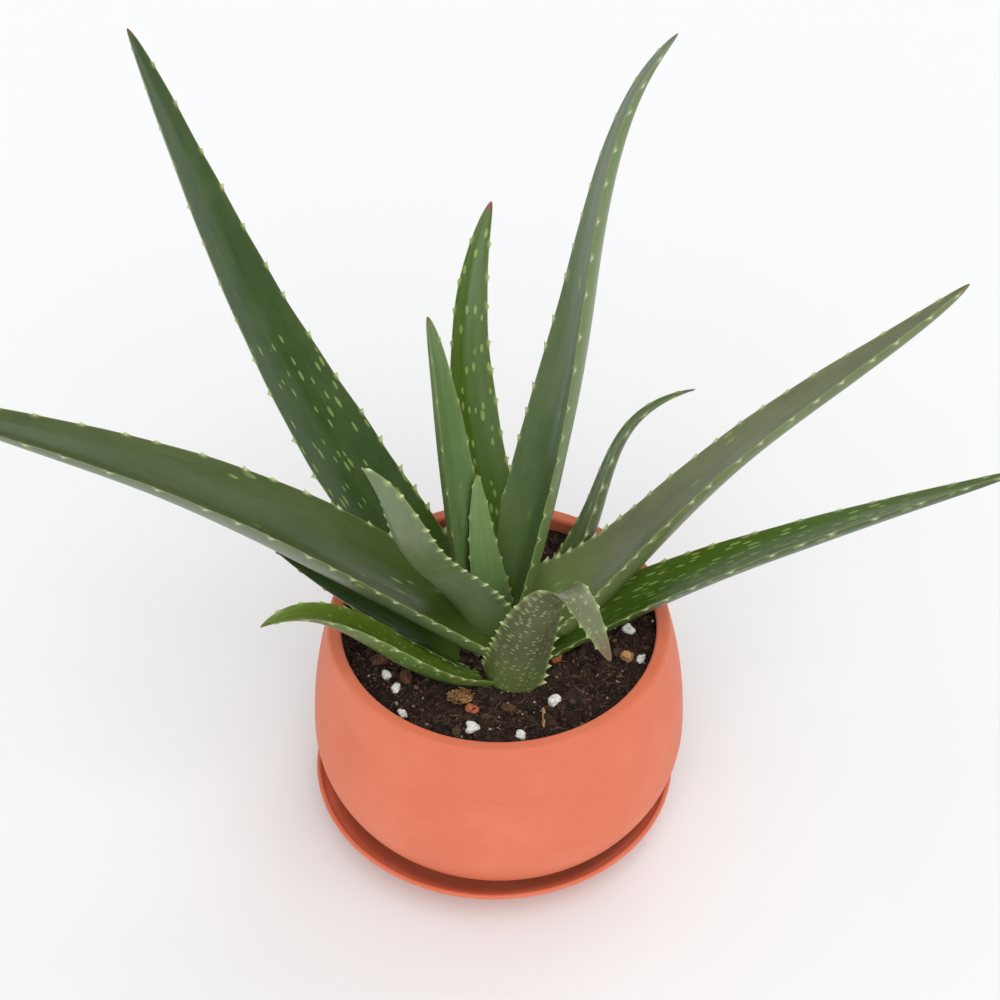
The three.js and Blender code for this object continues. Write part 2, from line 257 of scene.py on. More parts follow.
CLAY = clay_finish("matte_clay", srgb(206, 109, 78), srgb(211, 118, 88), srgb(191, 96, 66))

lip_radius, lip_half = 78.5, 1.1
saucer_outside = smooth_line([(59, 0), (61, 0.7), (65.6, 5.2), (71.2, 10.8), (76.5, 16.2), (78, 17.4)], 26)
saucer_inside = smooth_line(
    [(76.3, 17.6), (73, 15.2), (69.5, 12), (66, 9), (62.5, 6.6), (59, 5.3), (56, 5)], 26)
saucer_lip = arc((lip_radius - lip_half, 17.9), lip_half, -15, 180, 12)
saucer_profile = np.vstack([
    [(0, 0), (1, 0), (30, 0), (57, 0), (58.6, 0)],
    saucer_outside[:-1],
    saucer_lip,
    saucer_inside[1:],
    [(50, 5), (1, 5), (0, 5)],
]) * MM
points, faces = turned(saucer_profile, x=SAUCER_OFFSET)
build_piece("saucer_dish", points, faces, CLAY, ["saucer"])


# ---- Pot ----
# A round-bellied hollow pot of the same clay, unglazed, with a broad flat rim softened at both edges.
# It stands in the saucer, and a hole in its floor lets water out.
POT = {
    "bottom": 5, "foot": 51, "swell": 0.74, "belly": 80, "belly_height": 48,
    "rim": 72.25, "top": 106, "wall": 6, "drain": 6,
}
POT_FLOOR = POT["bottom"] + POT["wall"]


def pot_radius(height):
    """The outer radius in mm: below the belly it swells as (1 - down^2)^swell, above it leans in as up^2."""
    down = np.clip((POT["belly_height"] - height) / (POT["belly_height"] - POT["bottom"]), 0, 1)
    up = np.clip((height - POT["belly_height"]) / (POT["top"] - POT["belly_height"]), 0, 1)
    swell = (POT["belly"] - POT["foot"]) * (1 - down * down) ** POT["swell"]
    return POT["foot"] + swell - (POT["belly"] - POT["rim"]) * up * up


outer_round, inner_round = 2.2, 1.4
shoulder = POT["top"] - outer_round
brow = POT["top"] - inner_round
outer_height = POT["bottom"] + (shoulder - POT["bottom"]) * np.linspace(0, 1, 60) ** 1.7
inner_height = POT_FLOOR + (brow - POT_FLOOR) * np.linspace(1, 0, 50) ** 1.5
inner_radius = pot_radius(inner_height) - POT["wall"]
pot_profile = np.vstack([
    [(POT["drain"], POT["bottom"]), (20, POT["bottom"]), (45, POT["bottom"])],
    np.stack([pot_radius(outer_height), outer_height], axis=-1),
    arc((pot_radius(shoulder) - outer_round, shoulder), outer_round, 4, 90, 9),
    arc((pot_radius(brow) - POT["wall"] + inner_round, brow), inner_round, 90, 176, 7),
    np.stack([inner_radius, inner_height], axis=-1),
    [(45, POT_FLOOR), (20, POT_FLOOR), (POT["drain"], POT_FLOOR)],
]) * MM
points, faces = turned(pot_profile, closed=True)
build_piece("pot_shell", points, faces, CLAY, ["pot"])


# ---- Potting mix ----
# Dark peat and bark fines, which fill the pot to about 8 mm under the rim and rise a little at the plant.
# The body has a rough top, and thousands of separate crumbs, flakes and fibres lie on it.
SOIL_LEVEL = 96.5
WALL_GAP = 0.5  # mm between the mix and the pot
random = np.random.default_rng(11)


def soil_height(x, y):
    """The height of the mix in mm at a place in mm: a low mound at the plant, and gentle unevenness."""
    mound = 2.5 * np.exp(-(x * x + y * y) / 30 ** 2)
    bumps = np.sin(x / 7 + 1) * np.cos(y / 6) + 0.6 * np.sin(x / 4 - y / 5)
    return SOIL_LEVEL + mound + 0.9 * bumps


wave_count = 40
wave_length = random.uniform(2.5, 11, wave_count)
wave_turn = random.uniform(0, 2 * np.pi, wave_count)
wave_phase = random.uniform(0, 2 * np.pi, wave_count)


def roughness(x, y):
    """A rough relief in mm: the sum of plane waves of many lengths and directions."""
    run = x[..., None] * np.cos(wave_turn) + y[..., None] * np.sin(wave_turn)
    wave = np.sin(run * 2 * np.pi / wave_length + wave_phase) * wave_length
    return wave.sum(axis=-1) * 0.022


def soil_finish():
    """Dark crumbly peat: black-brown, with browner patches and grains, very rough."""
    soil = Finish("peat", Specular_IOR_Level=0.25)
    place = soil.place()
    patch = soil.noise(place, 90, 5, 0.7)
    grain = soil.node("ShaderNodeTexVoronoi", None, {"Vector": place, "Scale": 900.0}, "Color")
    grain_value = soil.node("ShaderNodeSeparateColor", None, {0: grain})
    colour = soil.mix(soil.step(patch, 0.4, 0.7), srgb(34, 24, 20), srgb(66, 46, 36))
    colour = soil.mix(soil.step(grain_value, 0.7, 1.0) * 0.5, colour, srgb(92, 64, 48))
    soil.feed("Base Color", colour)
    soil.feed("Roughness", 0.8 + patch * 0.2)
    soil.bump(patch + grain_value * 0.6, 0.7, 0.0012)
    return soil.material


PEAT = soil_finish()
soil_wall_height = POT_FLOOR + (SOIL_LEVEL - POT_FLOOR) * np.linspace(0, 1, 16) ** 1.5
soil_edge = pot_radius(SOIL_LEVEL) - POT["wall"] - WALL_GAP
top_radius = soil_edge * np.linspace(1, 0, 72)
soil_profile = np.vstack([
    [(0, POT_FLOOR), (1, POT_FLOOR)],
    np.stack([pot_radius(soil_wall_height) - POT["wall"] - WALL_GAP, soil_wall_height], axis=-1),
    np.stack([top_radius[1:], np.full(len(top_radius) - 1, SOIL_LEVEL)], axis=-1),
])
points, faces = turned(soil_profile)
top = points[:, 2] > SOIL_LEVEL - 0.01
flat_x, flat_y = points[top, 0], points[top, 1]
inward = np.clip((soil_edge - np.hypot(flat_x, flat_y)) / 3, 0, 1)
points[top, 2] = soil_height(flat_x, flat_y) + roughness(flat_x, flat_y) - 0.8 + 0.6 * (1 - inward)
build_piece("soil_body", points * MM, faces, PEAT, ["soil"])


def crumb_finish(name, rough):
    """Loose bits coloured one by one by the mesh's own tint, with a fine grain over it."""
    crumb = Finish(name, Specular_IOR_Level=0.3)
    place = crumb.place()
    grain = crumb.noise(place, 1800, 3, 0.7)
    tint = crumb.stored("tint", "Color")
    dark = crumb.mix(1.0, tint, (0.55, 0.5, 0.48, 1), "MULTIPLY")
    crumb.feed("Base Color", crumb.mix(crumb.step(grain, 0.35, 0.65), dark, tint))
    crumb.feed("Roughness", rough + (grain - 0.5) * 0.2)
    crumb.bump(grain, 0.6, 0.0005)
    return crumb.material


CRUMB = crumb_finish("crumbs", 0.85)


def set_tint(piece, colours):
    """Stores a colour at every vertex."""
    tint = piece.data.color_attributes.new("tint", "FLOAT_COLOR", "POINT")
    tint.data.foreach_set("color", np.asarray(colours, dtype=np.float32).ravel())


def rotations(count):
    """Evenly random rotation matrices, from random unit quaternions."""
    q = random.normal(size=(count, 4))
    w, x, y, z = (q / np.linalg.norm(q, axis=1, keepdims=True)).T
    return np.stack([
        1 - 2 * (y * y + z * z), 2 * (x * y - z * w), 2 * (x * z + y * w),
        2 * (x * y + z * w), 1 - 2 * (x * x + z * z), 2 * (y * z - x * w),
        2 * (x * z - y * w), 2 * (y * z + x * w), 1 - 2 * (x * x + y * y)], axis=-1).reshape(count, 3, 3)


golden = (1 + 5 ** 0.5) / 2
ICO_POINTS = np.array([
    (-1, golden, 0), (1, golden, 0), (-1, -golden, 0), (1, -golden, 0),
    (0, -1, golden), (0, 1, golden), (0, -1, -golden), (0, 1, -golden),
    (golden, 0, -1), (golden, 0, 1), (-golden, 0, -1), (-golden, 0, 1)]) / math.hypot(1, golden)
ICO_FACES = np.array([
    (0, 11, 5), (0, 5, 1), (0, 1, 7), (0, 7, 10), (0, 10, 11), (1, 5, 9), (5, 11, 4), (11, 10, 2),
    (10, 7, 6), (7, 1, 8), (3, 9, 4), (3, 4, 2), (3, 2, 6), (3, 6, 8), (3, 8, 9), (4, 9, 5),
    (2, 4, 11), (6, 2, 10), (8, 6, 7), (9, 8, 1)])


def scatter(count, reach=66.5):
    """Random places on the mix, in mm, evenly spread inside the rim."""
    radius = reach * np.sqrt(random.uniform(0, 1, count))
    angle = random.uniform(0, 2 * np.pi, count)
    return radius * np.cos(angle), radius * np.sin(angle)


def lie_on_soil(x, y):
    return soil_height(x, y) + roughness(x, y) - 0.8


def crumb_cloud(name, count, sizes, shape, palette, weights, lift, jitter):
    """Many small lumps: a twenty-sided ball, dented, stretched, turned and dropped on the mix."""
    x, y = scatter(count)
    size = random.uniform(*sizes, count)
    dented = ICO_POINTS[None] * random.uniform(1 - jitter, 1 + jitter, (count, 12, 1))
    stretched = dented * random.uniform(shape[0], shape[1], (count, 1, 3)) * size[:, None, None] / 2
    turned_bits = np.einsum("nij,nkj->nki", rotations(count), stretched)
    place = np.stack([x, y, lie_on_soil(x, y) + size * lift], axis=-1)
    bits = turned_bits + place[:, None]
    faces = (ICO_FACES[None] + 12 * np.arange(count)[:, None, None]).reshape(-1, 3)
    piece = build_piece(name, bits.reshape(-1, 3) * MM, faces, CRUMB, smooth=False)
    pick = random.choice(len(palette), count, p=weights)
    colour = np.array([srgb(*shade) for shade in palette])[pick]
    colour[:, :3] *= random.uniform(0.75, 1.25, (count, 1))
    set_tint(piece, np.repeat(colour, 12, axis=0))
    return piece


PEAT_SHADES = [(36, 26, 21), (52, 37, 30), (68, 49, 38), (88, 66, 50), (116, 88, 64), (128, 78, 54)]
CRUMB_WEIGHTS, FLAKE_WEIGHTS = [0.26, 0.28, 0.22, 0.15, 0.07, 0.02], [0.22, 0.3, 0.27, 0.15, 0.04, 0.02]
PERLITE_SHADES, PERLITE_WEIGHTS = [(208, 202, 194), (180, 170, 160)], [0.55, 0.45]
crumb_cloud("soil_crumbs", 9000, (0.6, 1.7), (0.5, 1.3), PEAT_SHADES, CRUMB_WEIGHTS, 0.2, 0.36)
crumb_cloud("soil_flakes", 950, (1.6, 4.4), (0.2, 1.3), PEAT_SHADES, FLAKE_WEIGHTS, 0.16, 0.3)
crumb_cloud("perlite_fines", 150, (0.6, 1.6), (0.55, 1.3), PERLITE_SHADES, PERLITE_WEIGHTS, 0.3, 0.34)


def tubes(paths, radii, sides=5):
    """Thin round strips: each path is carried by a ring of points that shrinks to nothing at both ends."""
    count, steps, _ = paths.shape
    along = np.gradient(paths, axis=1)
    along /= np.linalg.norm(along, axis=-1, keepdims=True)
    across = np.cross(along, np.array([0.3, 0.2, 0.93]))
    across /= np.linalg.norm(across, axis=-1, keepdims=True)
    beside = np.cross(along, across)
    angle = np.linspace(0, 2 * np.pi, sides, endpoint=False)
    taper = np.sqrt(np.clip(np.sin(np.linspace(0.04, 0.96, steps) * np.pi), 0, 1))
    reach = (radii[:, None] * taper)[..., None, None]
    ring = across[:, :, None] * np.cos(angle)[:, None] + beside[:, :, None] * np.sin(angle)[:, None]
    points = (paths[:, :, None] + ring * reach).reshape(-1, 3)
    body = grid_faces(steps, sides)
    start = np.arange(sides)[::-1]
    end = (steps - 1) * sides + np.arange(sides)
    faces = []
    for strip in range(count):
        shift = strip * steps * sides
        faces += (body + shift).tolist()
        faces += [(start + shift).tolist(), (end + shift).tolist()]
    return points, faces


def wandering_paths(x, y, z, length, steps, curl, flatness):
    """Curved strips that start at a place and wander: the heading drifts at random along each one."""
    count = len(x)
    start = random.uniform(0, 2 * np.pi, (count, 1))
    heading = start + np.cumsum(random.normal(0, curl, (count, steps)), axis=1)
    pitch = np.cumsum(random.normal(0, curl * flatness, (count, steps)), axis=1)
    stride = (length / steps)[:, None]
    flat_moves = [np.cos(heading) * stride, np.sin(heading) * stride]
    moves = np.stack(flat_moves + [np.sin(pitch) * stride * 0.6], axis=-1)
    return np.stack([x, y, z], axis=-1)[:, None] + np.cumsum(moves, axis=1) - moves[:, :1]


fibre_count = 900
x, y = scatter(fibre_count, 60)
length = random.uniform(2, 9, fibre_count)
paths = wandering_paths(x, y, lie_on_soil(x, y) + 0.7, length, 9, 0.22, 0.5)
inside = np.hypot(paths[..., 0], paths[..., 1]).max(axis=1) < 66
paths, radii = paths[inside], random.uniform(0.07, 0.2, fibre_count)[inside]
paths[..., 2] = np.maximum(paths[..., 2], lie_on_soil(paths[..., 0], paths[..., 1]) + 0.5)
points, faces = tubes(paths, radii)
fibres = build_piece("soil_fibres", points * MM, faces, CRUMB)
fibre_shades = np.array([srgb(92, 70, 52), srgb(132, 106, 76), srgb(62, 46, 36)])
shades = fibre_shades[random.integers(0, 3, len(paths))]
set_tint(fibres, np.repeat(shades, 9 * 5, axis=0))


# ---- Perlite, bark and straw ----
# The larger loose bits of the mix: white foamed perlite, chips of bark, a straw and a tuft of coir.
# Each lies where its CAD piece does, sunk a little into the peat.
def blob(rows, columns, centre, size, squareness, dents, turn):
    """A lump: a ball whose sides are squared by a power, then dented by waves and turned about Z."""
    latitude = np.linspace(-np.pi / 2, np.pi / 2, rows)[:, None]
    longitude = np.linspace(0, 2 * np.pi, columns, endpoint=False)[None]

    def soft(value):
        return np.sign(value) * np.abs(value) ** squareness

    ball = np.stack(np.broadcast_arrays(
        soft(np.cos(latitude)) * soft(np.cos(longitude)),
        soft(np.cos(latitude)) * soft(np.sin(longitude)),
        soft(np.sin(latitude))), axis=-1)
    phase = random.uniform(0, 2 * np.pi, (4, 3))
    swell = sum(np.sin(ball @ random.normal(0, 3.2, 3) + p[0]) for p in phase)
    ball = ball * (1 + dents * swell[..., None])
    body = ball * np.asarray(size) / 2
    cosine, sine = math.cos(math.radians(turn)), math.sin(math.radians(turn))
    spun = np.stack([body[..., 0] * cosine - body[..., 1] * sine,
                     body[..., 0] * sine + body[..., 1] * cosine, body[..., 2]], axis=-1)
    points = spun + np.asarray(centre)
    middle = points[1:-1].reshape(-1, 3)
    poles = np.stack([points[0].mean(axis=0), points[-1].mean(axis=0)])
    faces = list(grid_faces(rows - 2, columns))
    around = np.arange(columns)
    beside = (around + 1) % columns
    last = (rows - 3) * columns
    count = len(middle)
    faces += list(np.stack([np.full(columns, count), beside, around], axis=-1))
    faces += list(np.stack([np.full(columns, count + 1), last + around, last + beside], axis=-1))
    return np.vstack([middle, poles]), faces


def perlite_finish():
    """White foamed mineral: pitted, with painted shade in the pits (grey where the bump sinks, white on the
    rims) and a little brown dust.
    """
    stone = Finish("perlite_foam", Specular_IOR_Level=0.4, Subsurface_Weight=0.1, Subsurface_Scale=0.001)
    place = stone.place()
    pit = stone.node("ShaderNodeTexVoronoi", None, {"Vector": place, "Scale": 1300.0}, "Distance")
    dust = stone.noise(place, 420, 4, 0.7)
    # painted shade: each pit is grey at the bottom, where the bump sinks, and white at its rim
    colour = stone.mix(stone.step(pit, 0.05, 0.4), srgb(176, 168, 160), srgb(238, 235, 229))
    stone.feed("Base Color", stone.mix(stone.step(dust, 0.55, 0.72) * 0.55, colour, srgb(120, 92, 72)))
    stone.feed("Roughness", 0.75 + dust * 0.2)
    stone.bump(pit + dust * 0.5, 0.9, 0.0006)
    return stone.material


def bark_finish(name, light, dark):
    """Bark or dry fibre: light and dark grain drawn out along the chip, rough."""
    bark = Finish(name, Specular_IOR_Level=0.3)
    place = bark.place()
    grain = bark.noise(bark.stretch(place, (900, 300, 900)), 1, 4, 0.65)
    blotch = bark.noise(place, 350, 3)
    colour = bark.mix(bark.step(grain, 0.35, 0.65), dark, light)
    bark.feed("Base Color", bark.mix(bark.step(blotch, 0.55, 0.75) * 0.5, colour, dark))
    bark.feed("Roughness", 0.8 + (grain - 0.5) * 0.2)
    bark.bump(grain, 0.8, 0.0006)
    return bark.material


PERLITE_FOAM = perlite_finish()
PERLITE = [((-11, -53), 5.5), ((23, -37), 5.5), ((-43, -31), 4.2), ((-40, -44), 4.0),
           ((-47, -22), 4.5), ((55, 3), 5.0), ((60, -13), 4.2), ((9, -56), 4.5)]
for index, ((x, y), size) in enumerate(PERLITE):
    centre = (x, y, float(soil_height(x, y)) + size * 0.22)
    points, faces = blob(22, 30, centre, (size, size * 0.86, size * 0.8), 0.8, 0.085, index * 40)
    name = "perlite_%d" % (index + 1)
    build_piece("foam_lump_%d" % (index + 1), points * MM, faces, PERLITE_FOAM, [name])

ORANGE_BARK = bark_finish("bark_orange", srgb(196, 118, 74), srgb(134, 66, 40))
TAN_BARK = bark_finish("bark_tan", srgb(190, 150, 96), srgb(120, 84, 50))
BROWN_BARK = bark_finish("bark_brown", srgb(104, 70, 48), srgb(54, 36, 26))
BARK = [((24, -15), (5, 3.5, 6), 20, ORANGE_BARK), ((54, -12), (5.5, 4, 4), -25, TAN_BARK),
        ((-39, -24), (5, 7, 3.5), 8, BROWN_BARK), ((-50, -14), (8, 5, 3), 15, BROWN_BARK),
        ((-11, -41), (4, 6, 2.5), 60, ORANGE_BARK), ((4, -42), (6, 4, 2.5), -15, BROWN_BARK)]
for index, ((x, y), size, turn, finish) in enumerate(BARK):
    centre = (x, y, float(soil_height(x, y)) + size[2] * 0.36)
    points, faces = blob(20, 28, centre, size, 0.62, 0.035, turn)
    name = "bark_chip_%d" % (index + 1)
    build_piece("bark_flake_%d" % (index + 1), points * MM, faces, finish, [name])

STRAW_ENDS = np.array([(18, -40), (19, -52)], dtype=float)
share = np.linspace(0, 1, 24)[:, None]
straw_flat = STRAW_ENDS[0] + (STRAW_ENDS[1] - STRAW_ENDS[0]) * share
straw_z = soil_height(straw_flat[:, 0], straw_flat[:, 1]).mean() + 0.4 + 0.5 * np.sin(share[:, 0] * 3)
straw_path = np.column_stack([straw_flat[:, 0] + 0.4 * np.sin(share[:, 0] * 5), straw_flat[:, 1], straw_z])
points, faces = tubes(straw_path[None], np.array([0.95]), 12)
build_piece("straw_stalk", points * MM, faces, TAN_BARK, ["straw"])

tuft_count = 150
tuft_x = -16 + random.normal(0, 3.0, tuft_count)
tuft_y = -35 + random.normal(0, 1.8, tuft_count)
tuft_z = 97.2 + random.uniform(0, 3.0, tuft_count)
paths = wandering_paths(tuft_x, tuft_y, tuft_z, random.uniform(3, 8, tuft_count), 9, 0.4, 1.2)
middle, limit = np.array([-16, -35, 98.2]), np.array([6.8, 4.4, 2.8])
spread = np.linalg.norm((paths - middle) / limit, axis=-1, keepdims=True)
paths = middle + (paths - middle) * np.tanh(spread) / spread
points, faces = tubes(paths, random.uniform(0.12, 0.3, tuft_count))
COIR = crumb_finish("coir", 0.75)
tuft = build_piece("coir_tuft", points * MM, faces, COIR, ["fibre_tuft"])
coir_shades = np.array([srgb(205, 165, 112), srgb(176, 132, 84), srgb(140, 98, 60)])
shades = coir_shades[random.integers(0, 3, tuft_count)]
set_tint(tuft, np.repeat(shades, 9 * 5, axis=0))


# ---- Stem ----
# A short green-brown stump, ringed by the scars of old leaves, that the leaves sheathe and grow from.
def stem_finish():
    """Fleshy green stem with brown papery scars in rings."""
    stem = Finish("stem_flesh", Specular_IOR_Level=0.4)
    place = stem.place()
    ring = stem.noise(stem.stretch(place, (60, 60, 600)), 1, 3)
    colour = stem.mix(stem.step(ring, 0.4, 0.65), srgb(118, 128, 78), srgb(104, 82, 54))
    stem.feed("Base Color", colour)
    stem.feed("Roughness", 0.55 + ring * 0.2)
    stem.bump(ring, 0.5, 0.0008)
    return stem.material


stem_line = smooth_line([(10, 76), (13.4, 84), (15, 91), (14.2, 97), (8.2, 101.4), (5.5, 103)], 40)
stem_line[:, 0] += 0.25 * np.sin(stem_line[:, 1] * 2.4)
stem_profile = np.vstack([[(0, 76), (1, 76)], stem_line, [(1, 103), (0, 103)]]) * MM
points, faces = turned(stem_profile, x=1 * MM, y=-2 * MM, segments=96)
build_piece("stem_stump", points, faces, stem_finish(), ["stem"])


# ---- Leaves ----
# Thick fleshy leaves, channelled above and rounded below, with small pale teeth along both margins.
# Each is one swept surface on a Bezier spine, and its skin is waxy, blue-green, with pale drawn-out spots.
# A spine runs from base to tip, in mm. facing is the compass direction that the width is square to, and
# roll tips the width, both in degrees. Width, foot, taper and point shape the outline; channel and thick
# are shares of the half width at the base, the middle and the tip. These values were not chosen by hand: they
# come from a numerical fit of this same surface to the plant's outlines, rounded to 1 mm and 1 degree.
LEAVES = {
    "leaf_heart": dict(
        spine=[(-2, 4, 102), (-6, 8, 126), (-9, 13, 151), (-9, 18, 175)], facing=(117, 111), roll=(5, 0),
        width=20, foot=0.95, taper=1.0, point=0.6, channel=(0.25, 0.3, 0.2), thick=(0.45, 0.4, 0.4)),
    "leaf_inner_left": dict(
        spine=[(-8, 5, 100), (-17, 10, 155), (-21, 13, 210), (-28, 15, 263)], facing=(150, 155), roll=(0, 8),
        width=28, foot=0.9, taper=1.9, point=0.6, channel=(0.25, 0.25, 0.35), thick=(0.45, 0.4, 0.4)),
    "leaf_front": dict(
        spine=[(-5, -5, 106), (-19, -5, 154), (-43, -39, 173), (-29, -51, 210), (-51, -56, 249)],
        facing=(223, 228), roll=(16, 10), width=33, foot=0.94, taper=1.2, point=0.5,
        channel=(0.4, 0.11, 0.6), thick=(0.41, 0.29, 0.37)),
    "leaf_tall_right": dict(
        spine=[(1, 5, 96), (29, 52, 179), (40, 77, 245), (33, 84, 299), (69, 78, 352)],
        facing=(39, -16), roll=(-12, 8), width=43, foot=0.72, taper=1, point=0.6,
        channel=(0.51, 0.1, 0.14), thick=(0.45, 0.3, 0.49)),
    "leaf_back": dict(
        spine=[(5, 16, 97), (-11, 43, 154), (-21, 74, 205), (-3, 107, 247)], facing=(120, 81), roll=(25, 3),
        width=31, foot=0.9, taper=1.0, point=0.6, channel=(0.25, 0.35, 0.2), thick=(0.45, 0.4, 0.4)),
    "leaf_tall_left": dict(
        spine=[(-18, 21, 87), (-65, 49, 144), (-103, 68, 207), (-122, 80, 279), (-143, 80, 353)],
        facing=(153, 150), roll=(-14, 11), width=46, foot=0.73, taper=1.1, point=0.6,
        channel=(0.24, 0.2, 0.25), thick=(0.44, 0.36, 0.35)),
    "leaf_long_left": dict(
        spine=[(-5, -8, 109), (-66, -3, 149), (-116, 5, 186), (-179, 3, 205), (-254, 12, 228)],
        facing=(170, 180), roll=(13, 11), width=49, foot=0.75, taper=1.6, point=0.73,
        channel=(0.24, 0.44, 0.29), thick=(0.56, 0.26, 0.48)),
    "leaf_long_right": dict(
        spine=[(26, 5, 108), (64, 14, 134), (80, 33, 176), (142, 39, 205), (190, 55, 246)],
        facing=(-15, -7), roll=(6, -11), width=43, foot=1.1, taper=1, point=0.6,
        channel=(0.42, 0.1, 0.4), thick=(0.44, 0.3, 0.7)),
    "leaf_small_right": dict(
        spine=[(25, 34, 95), (46, 45, 126), (44, 61, 149), (53, 75, 161), (85, 88, 159)],
        facing=(48, -6), roll=(-36, -19), width=18, foot=1.1, taper=1, point=0.6,
        channel=(0.36, 0.22, 0.2), thick=(0.6, 0.45, 0.48)),
    "leaf_low_right": dict(
        spine=[(21, -7, 102), (81, 2, 139), (148, 2, 165), (215, 5, 191)], facing=(7, 1), roll=(-5, -33),
        width=30, foot=0.95, taper=1.5, point=0.6, channel=(0.25, 0.25, 0.25), thick=(0.45, 0.4, 0.45)),
    "leaf_curled": dict(
        spine=[(4, -26, 95), (11, -30, 124), (18, -38, 157), (23, -43, 186),
               (30, -53, 181), (45, -54, 140)],
        facing=(-71, -9, -87), roll=(-42, -15, -12), width=30, foot=0.85, taper=1.1, point=0.6,
        channel=(0.21, 0.37, 0.42), thick=(0.45, 0.39, 0.39)),
    "leaf_low_left": dict(
        spine=[(-11, -26, 100), (-42, -33, 114), (-66, -21, 151), (-96, -45, 150)],
        facing=(181, 199), roll=(28, 5),
        width=24, foot=0.65, taper=2.3, point=0.8, channel=(0.25, 0.3, 0.3), thick=(0.5, 0.5, 0.4)),
    "leaf_under_left": dict(
        spine=[(-17, -15, 99), (-42, -11, 117), (-69, -7, 133), (-94, 1, 150)],
        facing=(171, 165), roll=(14, -2),
        width=19, foot=0.9, taper=1.9, point=0.9, channel=(0.3, 0.3, 0.2), thick=(0.45, 0.4, 0.4)),
}
SHEATH = 9  # mm of leaf base that runs down into the mix or round the stem
ROW = 0.5  # mm between rows along a leaf
HALF_RING = 22


def bezier(values, t):
    """The Bezier curve of any number of values, by mixing neighbours until one is left."""
    values = [np.asarray(value, dtype=float) for value in values]
    while len(values) > 1:
        values = [low + (high - low) * t for low, high in zip(values[:-1], values[1:])]
    return values[0]


def unit(vectors):
    return vectors / np.linalg.norm(vectors, axis=-1, keepdims=True)


def tooth_row(length, pitch, size, reach):
    """Teeth along one margin: unevenly spaced places, closer at the base, and heights that fall to the tip."""
    places = [length * 0.015 + random.uniform(0, 2)]
    while places[-1] < length * reach:
        share = places[-1] / length
        places.append(places[-1] + pitch * (0.5 + 0.75 * min(1, share / 0.4)) * random.uniform(0.75, 1.25))
    places = np.array(places)
    heights = size * (1 - 0.55 * places / length) * random.uniform(0.75, 1.15, len(places))
    return places, heights


